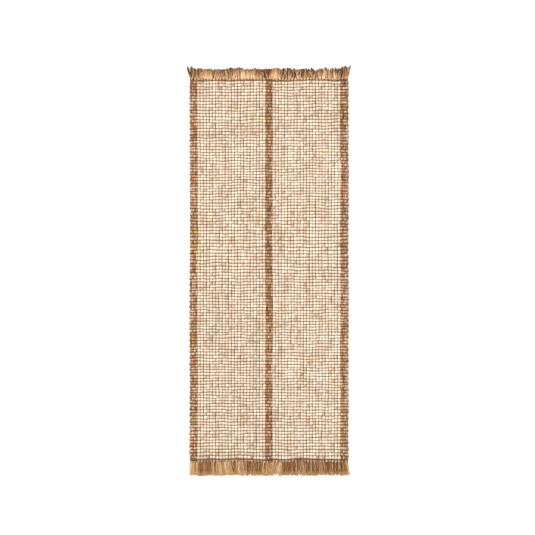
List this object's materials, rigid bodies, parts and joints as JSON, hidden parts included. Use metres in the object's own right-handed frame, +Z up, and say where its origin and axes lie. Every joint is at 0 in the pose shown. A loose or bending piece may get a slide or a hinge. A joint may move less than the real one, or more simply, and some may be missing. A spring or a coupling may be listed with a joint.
{
  "type": "runner rug",
  "caption": "Long flat-woven floor runner with two pale fields, jute stripes along both edges and the middle, and a combed fringe at each end.",
  "frame": {"origin": "on the floor under the middle of the rug", "axes": "+X across the rug, +Y along it towards the top fringe, +Z up from the floor through the pile side"},
  "size_m": [0.7, 1.8, 0.0114],
  "materials": {
    "ivory_field": "undyed bleached jute, thick soft yarn, matt",
    "jute_stripe": "natural jute, thick yarn in mixed brown lots, matt",
    "jute_ground": "natural jute, thin hard-twisted yarn, matt",
    "jute_weft": "natural jute weft yarn, matt",
    "jute_fringe": "combed loose jute fibre with golden tips, slight lustre"
  },
  "bodies": {
    "root": {"ground_warp": "jute_ground", "thick_weft": "jute_weft", "thin_weft": "jute_weft", "face_warp_left_border": "jute_stripe", "face_warp_left_field": "ivory_field", "face_warp_centre_stripe": "jute_stripe", "face_warp_right_field": "ivory_field", "face_warp_right_border": "jute_stripe", "selvedge_turns_left": "jute_weft", "selvedge_turns_right": "jute_weft", "heading_cord_top": "jute_ground", "heading_cord_bottom": "jute_ground", "end_knots_top": "jute_fringe", "end_knots_bottom": "jute_fringe", "fringe_top": "jute_fringe", "fringe_bottom": "jute_fringe"}
  },
  "joints": []
}
